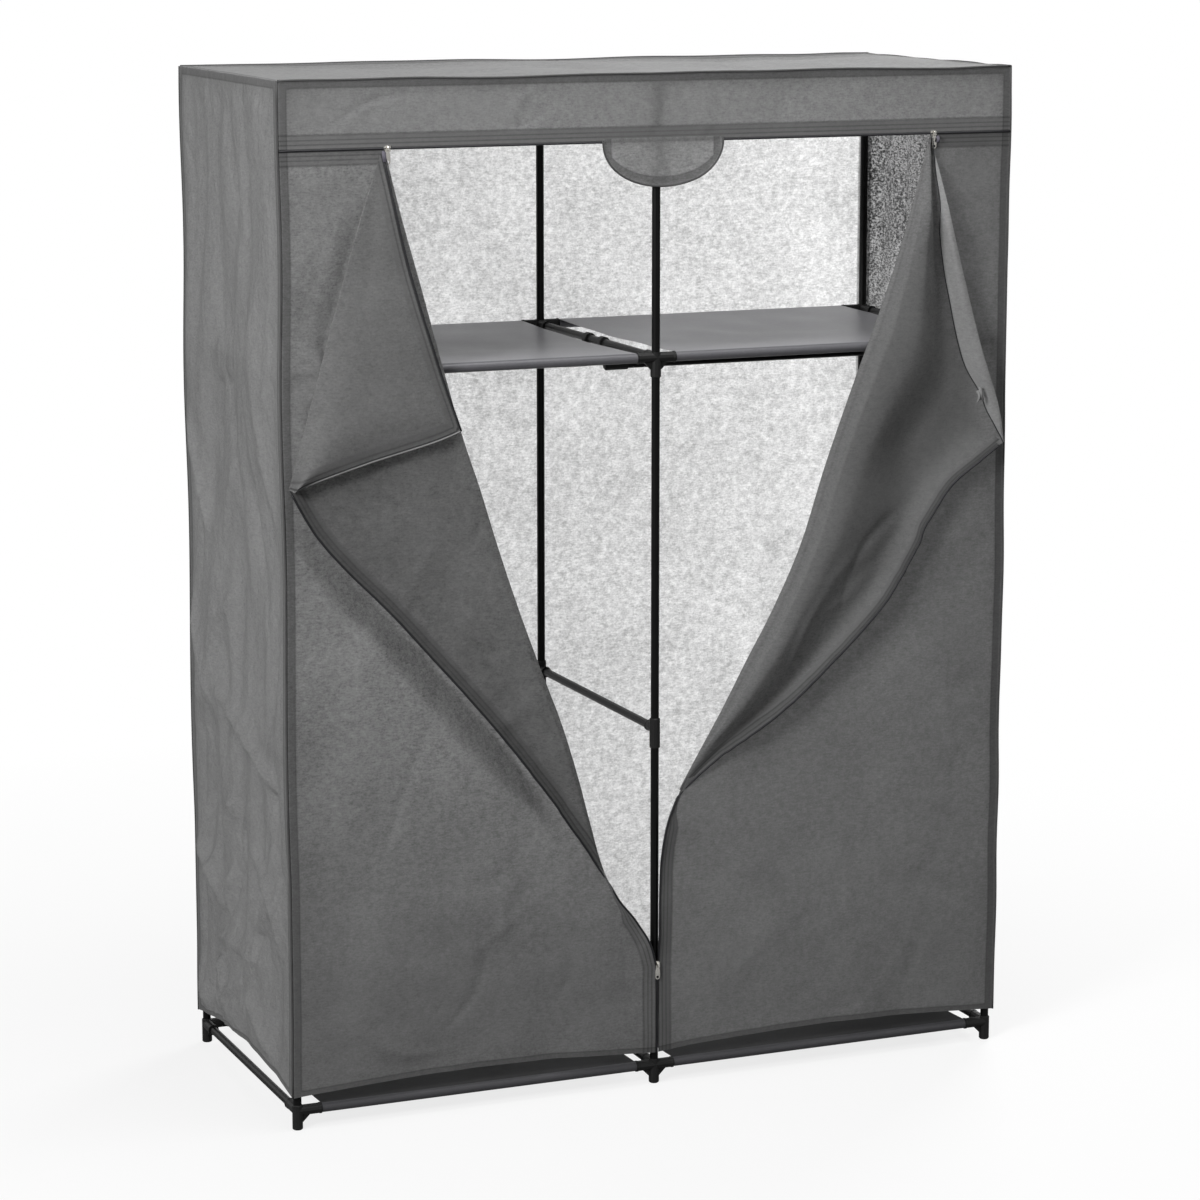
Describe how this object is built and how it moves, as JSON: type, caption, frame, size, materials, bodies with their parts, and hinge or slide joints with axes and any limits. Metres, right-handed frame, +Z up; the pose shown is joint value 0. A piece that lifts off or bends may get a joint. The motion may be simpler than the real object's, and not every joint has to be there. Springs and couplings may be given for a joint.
{
  "type": "portable fabric wardrobe",
  "caption": "Portable wardrobe: a steel tube frame in moulded connectors, cloth shelves, clothes rails and a zipped grey cloth cover with its doors unzipped and folded back.",
  "frame": {"origin": "on the floor, under the middle of the overall width and depth", "axes": "+Z up; +X to the right of someone who faces the doors; the doors face -Y"},
  "size_m": [1.214, 0.522, 1.6],
  "materials": {
    "frame_steel": "black gloss paint on steel tube",
    "connector_plastic": "moulded, fine grained",
    "cover_cloth": "non-woven, mottled, slightly see-through",
    "shelf_cloth": "non-woven, smooth side out",
    "zip_metal": "bright nickel"
  },
  "bodies": {
    "wardrobe": {"post_left_front": "frame_steel", "foot_left_front": "connector_plastic", "post_left_rear": "frame_steel", "foot_left_rear": "connector_plastic", "post_middle_front": "frame_steel", "foot_middle_front": "connector_plastic", "post_middle_rear": "frame_steel", "foot_middle_rear": "connector_plastic", "post_right_front": "frame_steel", "foot_right_front": "connector_plastic", "post_right_rear": "frame_steel", "foot_right_rear": "connector_plastic", "depth_tube_left_base": "frame_steel", "depth_tube_left_middle": "frame_steel", "depth_tube_left_shelf": "frame_steel", "depth_tube_left_roof": "frame_steel", "depth_tube_middle_base": "frame_steel", "depth_tube_middle_middle": "frame_steel", "depth_tube_middle_shelf": "frame_steel", "depth_tube_middle_roof": "frame_steel", "depth_tube_right_base": "frame_steel", "depth_tube_right_middle": "frame_steel", "depth_tube_right_shelf": "frame_steel", "depth_tube_right_roof": "frame_steel", "width_tube_left_front_base": "frame_steel", "width_tube_left_rear_base": "frame_steel", "width_tube_right_front_base": "frame_steel", "width_tube_right_rear_base": "frame_steel", "width_tube_left_front_shelf": "frame_steel", "width_tube_left_rear_shelf": "frame_steel", "width_tube_right_front_shelf": "frame_steel", "width_tube_right_rear_shelf": "frame_steel", "width_tube_left_front_roof": "frame_steel", "width_tube_left_rear_roof": "frame_steel", "width_tube_right_front_roof": "frame_steel", "width_tube_right_rear_roof": "frame_steel", "shelf_left_base": "shelf_cloth", "shelf_left_upper": "shelf_cloth", "shelf_right_base": "shelf_cloth", "shelf_right_upper": "shelf_cloth", "roof_panel": "cover_cloth", "back_panel": "cover_cloth", "side_panel_left": "cover_cloth", "side_panel_right": "cover_cloth", "front_valance": "cover_cloth", "door_left": "cover_cloth", "door_right": "cover_cloth", "zip_cover_tab": "cover_cloth"},
    "rail_left": {"clothes_rail_left": "frame_steel", "rail_hanger_left_outer": "connector_plastic", "rail_hanger_left_inner": "connector_plastic"},
    "rail_right": {"clothes_rail_right": "frame_steel", "rail_hanger_right_inner": "connector_plastic", "rail_hanger_right_outer": "connector_plastic"},
    "zip_slider_left": {"zip_slider_left": "zip_metal"},
    "zip_pull_left": {"zip_pull_left": "zip_metal"},
    "zip_slider_right": {"zip_slider_right": "zip_metal"},
    "zip_pull_right": {"zip_pull_right": "zip_metal"},
    "zip_slider_centre": {"zip_slider_centre": "zip_metal"},
    "zip_pull_centre": {"zip_pull_centre": "zip_metal"}
  },
  "joints": [
    {"name": "rail_left_slide", "type": "slide", "parent": "wardrobe", "child": "rail_left", "axis": [0, 1, 0], "range_m": [-0.022, 0.164]},
    {"name": "rail_right_slide", "type": "slide", "parent": "wardrobe", "child": "rail_right", "axis": [0, 1, 0], "range_m": [-0.164, 0.022]},
    {"name": "zip_left_slide", "type": "slide", "parent": "wardrobe", "child": "zip_slider_left", "axis": [1, 0, 0], "range_m": [-0.151, 0.335]},
    {"name": "zip_left_pull", "type": "hinge", "parent": "zip_slider_left", "child": "zip_pull_left", "pos_m": [-0.43886, -0.2437, 1.497], "axis": [-1, 0, 0], "range_deg": [0, 150]},
    {"name": "zip_right_slide", "type": "slide", "parent": "wardrobe", "child": "zip_slider_right", "axis": [1, 0, 0], "range_m": [-0.356, 0.12]},
    {"name": "zip_right_pull", "type": "hinge", "parent": "zip_slider_right", "child": "zip_pull_right", "pos_m": [0.46982, -0.2437, 1.497], "axis": [-1, 0, 0], "range_deg": [0, 150]},
    {"name": "zip_centre_slide", "type": "slide", "parent": "wardrobe", "child": "zip_slider_centre", "axis": [0, 0, 1], "range_m": [-0.13, 1.22]},
    {"name": "zip_centre_pull", "type": "hinge", "parent": "zip_slider_centre", "child": "zip_pull_centre", "pos_m": [0, -0.2437, 0.1976], "axis": [-1, 0, 0], "range_deg": [0, 150]}
  ]
}
